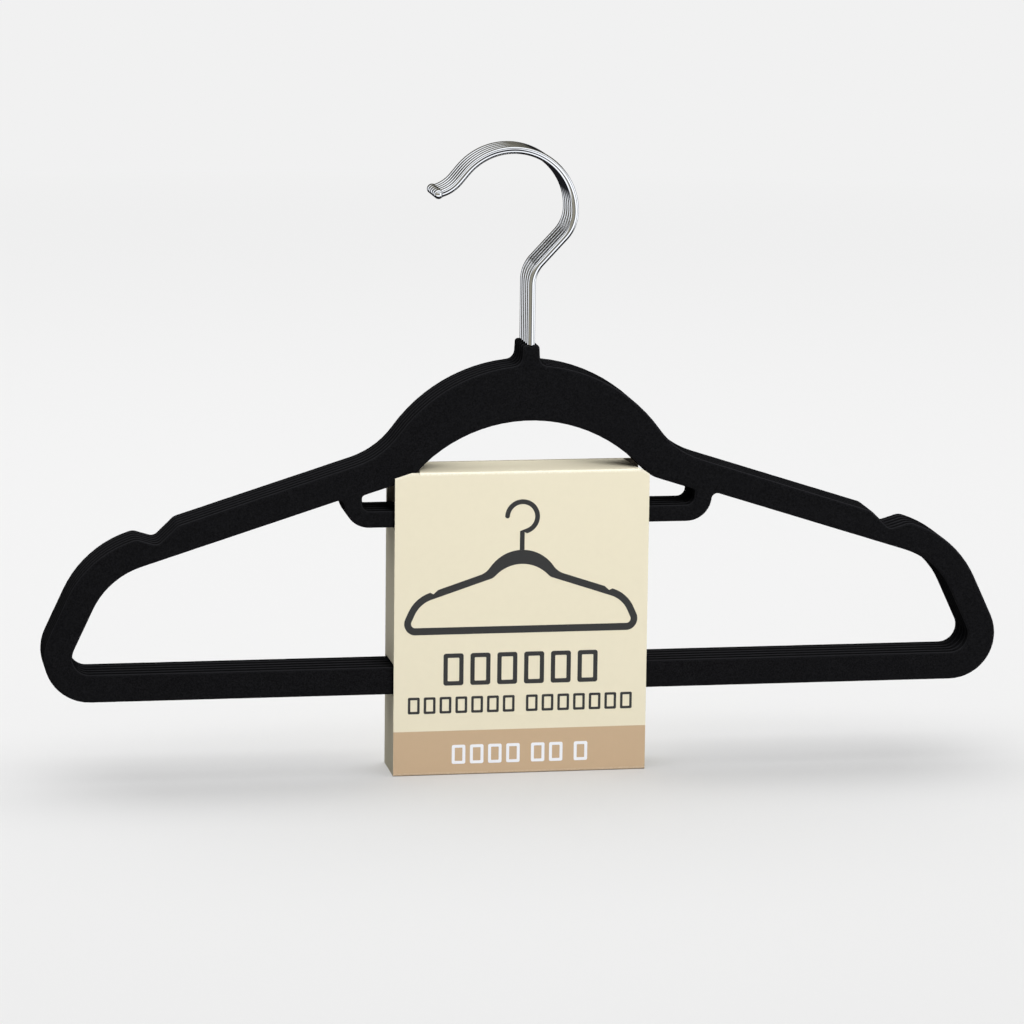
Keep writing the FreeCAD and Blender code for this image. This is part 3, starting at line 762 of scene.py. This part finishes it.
def room_colour(nodes, direction):
    """Colour of the room in a direction: upright panels round the pack, level ones over it."""
    turned = nodes.add("ShaderNodeVectorRotate", {"Vector": direction, "Angle": -VIEW_AZIMUTH},
                       rotation_type="Z_AXIS").outputs[0]
    split = nodes.add("ShaderNodeSeparateXYZ", {0: turned})
    towards = nodes.math("MULTIPLY", split.outputs["Y"], -1.0)
    around = panels(nodes, nodes.math("ARCTAN2", split.outputs["X"], towards), ROUND)
    overhead = panels(nodes, nodes.math("ARCTAN2", split.outputs["Z"], towards), OVER)
    height = nodes.math("ABSOLUTE", split.outputs["Z"])
    return nodes.mix(nodes.ramp(height, OVER_FROM, OVER_WHOLE), around, overhead)


def panels(nodes, angle, stops):
    """Colour at an angle in radians, from stops in degrees."""
    ramp = nodes.add("ShaderNodeValToRGB", {0: nodes.ramp(angle, -math.pi, math.pi)})
    bands = ramp.color_ramp.elements
    bands.remove(bands[1])
    for index, (degrees, colour) in enumerate(stops):
        band = bands[0] if index == 0 else bands.new((degrees + 180) / 360)
        band.color = colour
    return ramp.outputs["Color"]


def make_world():
    """Pale backdrop for the camera, the room for reflections and a soft dome for everything else."""
    world = bpy.data.worlds.new("studio")
    world.use_nodes = True
    nodes = Nodes(world.node_tree)
    path = nodes.add("ShaderNodeLightPath")
    direction = nodes.add("ShaderNodeTexCoord").outputs["Generated"]
    unseen = nodes.mix(path.outputs["Is Glossy Ray"], DOME, room_colour(nodes, direction))
    colour = nodes.mix(path.outputs["Is Camera Ray"], unseen, BACKDROP)
    nodes.feed(world.node_tree.nodes["Background"].inputs["Color"], colour)
    bpy.context.scene.world = world


def make_floor():
    """Wide pale floor that fades into the backdrop and shows polished metal the same room."""
    bm = bmesh.new()
    bmesh.ops.create_circle(bm, cap_ends=True, segments=96, radius=FLOOR_REACH)
    mesh = bpy.data.meshes.new("studio_floor")
    bm.to_mesh(mesh)
    bm.free()
    floor = bpy.data.objects.new("studio_floor", mesh)
    bpy.context.scene.collection.objects.link(floor)
    shader = Shader("studio_floor")
    path = shader.add("ShaderNodeLightPath")
    by_camera = path.outputs["Is Camera Ray"]
    distance = shader.add("ShaderNodeVectorMath", {0: shader.object_space},
                          operation="LENGTH").outputs["Value"]
    far = shader.scaled(shader.ramp(distance, FADE_FROM, FADE_TO), NEAR_SHARE, 1.0)
    towards = shader.add("ShaderNodeNewGeometry").outputs["Incoming"]
    onward = shader.add("ShaderNodeVectorMath", {0: towards, 1: (-1.0, -1.0, -1.0)}, operation="MULTIPLY")
    shader.principled(Base_Color=shader.mix(by_camera, FLOOR_BOUNCE, FLOOR_SEEN), Roughness=0.9,
                      Specular_IOR_Level=0.1)
    backdrop = shader.add("ShaderNodeEmission", {"Color": BACKDROP}).outputs[0]
    room = shader.add("ShaderNodeEmission", {"Color": room_colour(shader, onward.outputs[0])}).outputs[0]
    fading = shader.math("MULTIPLY", far, by_camera)
    seen = shader.add("ShaderNodeMixShader", {0: fading, 1: shader.surface.outputs[0], 2: backdrop})
    mirrored = shader.add("ShaderNodeMixShader",
                          {0: path.outputs["Is Glossy Ray"], 1: seen.outputs[0], 2: room})
    shader.feed(shader.tree.nodes["Material Output"].inputs["Surface"], mirrored.outputs[0])
    floor.data.materials.append(shader.material)
    return floor


def softbox(name, place, aim, size, power, skips=None):
    """Square soft light that isn't seen, even in a reflection; skips is an object it doesn't light."""
    light = bpy.data.lights.new(name, "AREA")
    light.shape = "SQUARE"
    light.size = size
    light.energy = power
    lamp = bpy.data.objects.new(name, light)
    lamp.location = place
    lamp.rotation_euler = (Vector(aim) - Vector(place)).to_track_quat("-Z", "Y").to_euler()
    lamp.visible_camera = False
    lamp.visible_glossy = False
    bpy.context.scene.collection.objects.link(lamp)
    if skips:
        unlit = bpy.data.collections.new(name + "_skips")
        unlit.objects.link(skips)
        unlit.collection_objects[0].light_linking.link_state = "EXCLUDE"
        lamp.light_linking.receiver_collection = unlit


# ---------------------------------------------------------------- the pack and its studio

make_camera()
make_world()
floor = make_floor()
softbox("key_light", place=(0.58, -1.80, 1.58), aim=(0, 0, 0.12), size=1.2, power=54, skips=floor)
softbox("top_light", place=(0.0, 0.4, 1.9), aim=(0, 0, 0.1), size=4.0, power=84)
bpy.context.scene.view_settings.view_transform = "Standard"

make_coats(velvet_material())
chrome = chrome_material()
core = core_material()
for number in HANGERS:
    dress(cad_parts["hook_%d" % number], chrome)
    dress(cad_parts["hanger_core_%d" % number], core)

# the last colour of each board is its crease colour: part wear, part painted highlight
cream = board_material("cream_board", linear(232, 224, 199), linear(250, 246, 232))
tan = board_material("tan_print", linear(197, 171, 140), linear(222, 202, 176))
inside = raw_board_material("board_inside", linear(176, 166, 148), linear(158, 147, 128))
cut_edge = raw_board_material("board_cut_edge", linear(236, 231, 214), linear(206, 196, 172))
charcoal = ink_material("charcoal_ink", linear(45, 45, 45), linear(96, 92, 84))
white = ink_material("white_ink", linear(238, 240, 245), linear(222, 210, 196))
walls = make_walls(cream, inside, cut_edge)
base = make_base(cream, inside, cut_edge)
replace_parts(walls, "carton_tray")
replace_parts(base, "carton_tray")
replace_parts(make_front(cream, inside, cut_edge, tan), "carton_cover")
make_print(charcoal, white)
